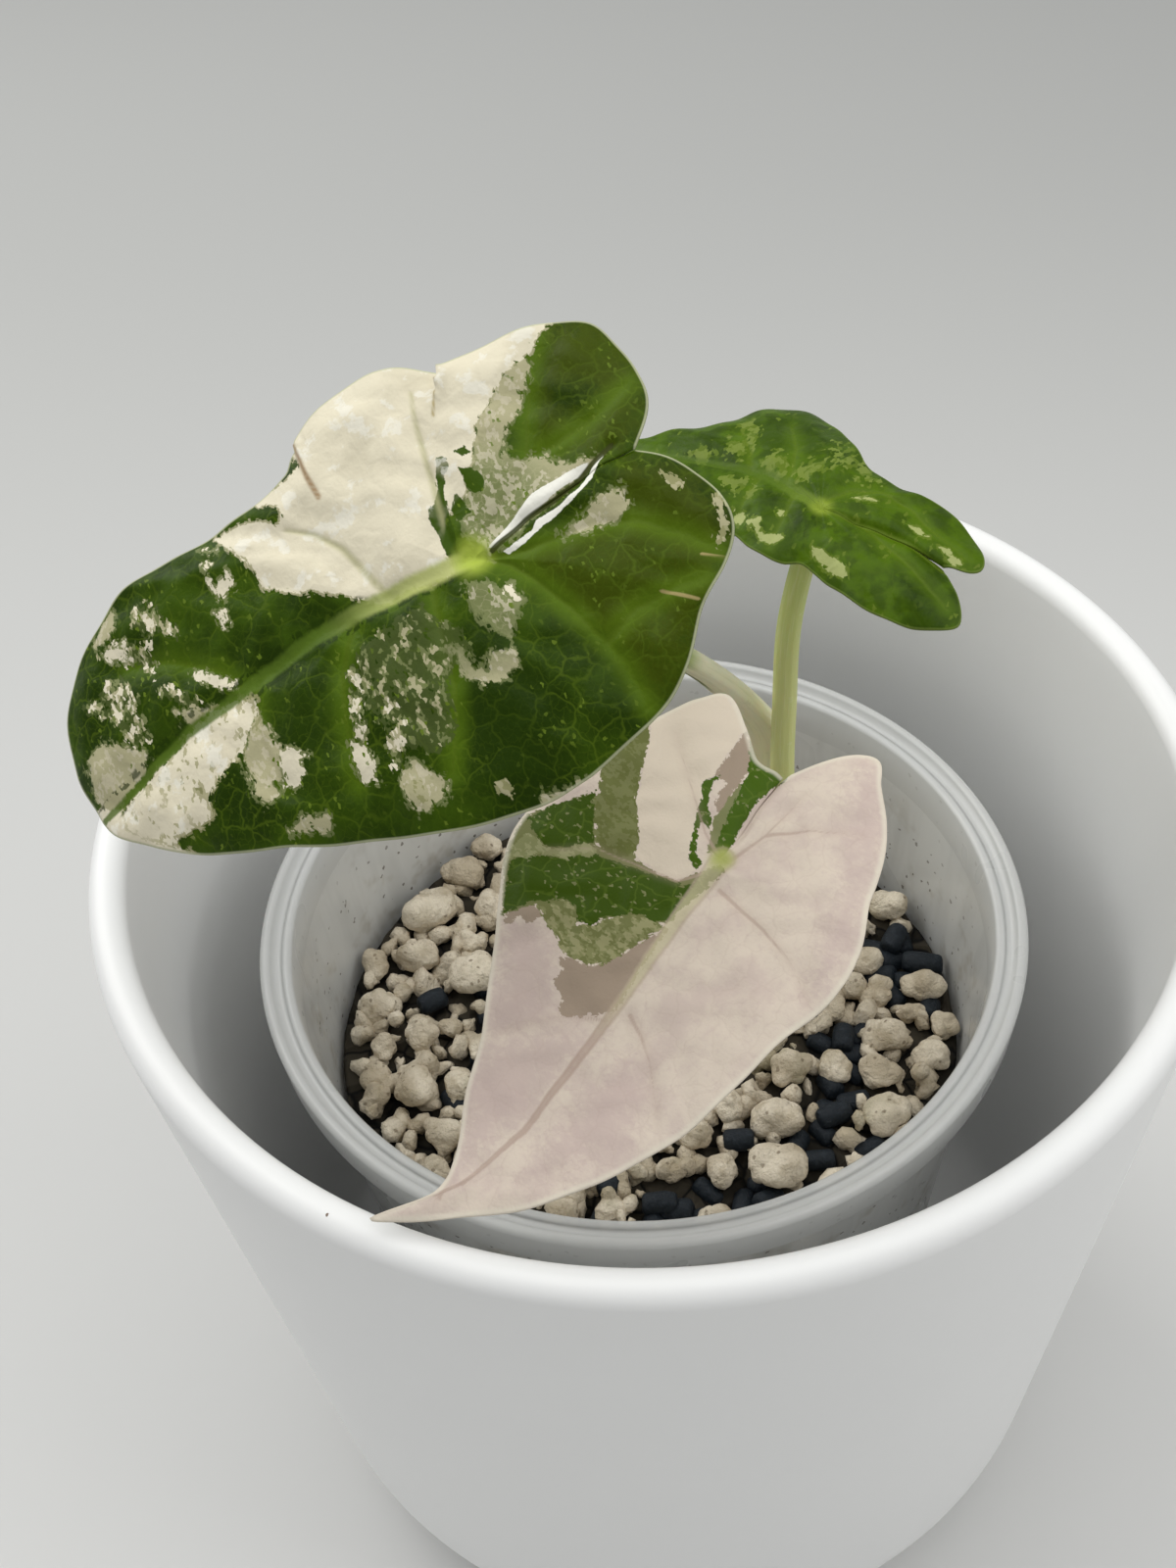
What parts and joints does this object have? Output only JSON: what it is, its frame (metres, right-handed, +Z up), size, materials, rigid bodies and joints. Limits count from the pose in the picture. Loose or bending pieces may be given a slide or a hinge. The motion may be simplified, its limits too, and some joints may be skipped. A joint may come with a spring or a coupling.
{
  "type": "potted alocasia plant",
  "caption": "Potted alocasia with variegated green, white and pink arrow-shaped leaves on stalks, growing from a cup of pumice and charcoal inside a plain white tapered cachepot.",
  "frame": {"origin": "centre of the cachepot's flat foot, on the surface that it stands on", "axes": "+Z up along the cachepot's axis; -Y faces the viewer of the reference picture; the large leaf points to -X and a little to -Y"},
  "size_m": [0.14, 0.14, 0.2032],
  "materials": {
    "cachepot_glaze": "satin",
    "cup_plastic": "satin",
    "substrate": "matte",
    "pumice": "matte",
    "charcoal": "matte",
    "stem": "satin",
    "petiole": "satin",
    "petiole_pink": "satin",
    "leaf_green": "satin",
    "leaf_pink": "satin"
  },
  "bodies": {
    "root": {"blade_large": "leaf_green", "blade_pink": "leaf_pink", "blade_small": "leaf_green", "cachepot": "cachepot_glaze", "charcoal_01": "charcoal", "charcoal_02": "charcoal", "charcoal_03": "charcoal", "charcoal_04": "charcoal", "charcoal_05": "charcoal", "charcoal_06": "charcoal", "charcoal_07": "charcoal", "charcoal_08": "charcoal", "charcoal_09": "charcoal", "inner_cup": "cup_plastic", "petiole_large": "petiole", "petiole_pink": "petiole_pink", "petiole_small": "petiole", "pumice_01": "pumice", "pumice_02": "pumice", "pumice_03": "pumice", "pumice_04": "pumice", "pumice_05": "pumice", "pumice_06": "pumice", "pumice_07": "pumice", "pumice_08": "pumice", "pumice_09": "pumice", "pumice_10": "pumice", "pumice_11": "pumice", "pumice_12": "pumice", "pumice_13": "pumice", "pumice_14": "pumice", "pumice_15": "pumice", "pumice_16": "pumice", "pumice_17": "pumice", "pumice_18": "pumice", "pumice_19": "pumice", "pumice_20": "pumice", "pumice_21": "pumice", "pumice_22": "pumice", "pumice_23": "pumice", "pumice_24": "pumice", "pumice_25": "pumice", "pumice_26": "pumice", "pumice_27": "pumice", "pumice_28": "pumice", "pumice_29": "pumice", "pumice_30": "pumice", "pumice_31": "pumice", "pumice_32": "pumice", "pumice_33": "pumice", "pumice_34": "pumice", "pumice_35": "pumice", "pumice_36": "pumice", "pumice_37": "pumice", "pumice_38": "pumice", "stem_base": "stem", "substrate_bed": "substrate"}
  },
  "joints": []
}
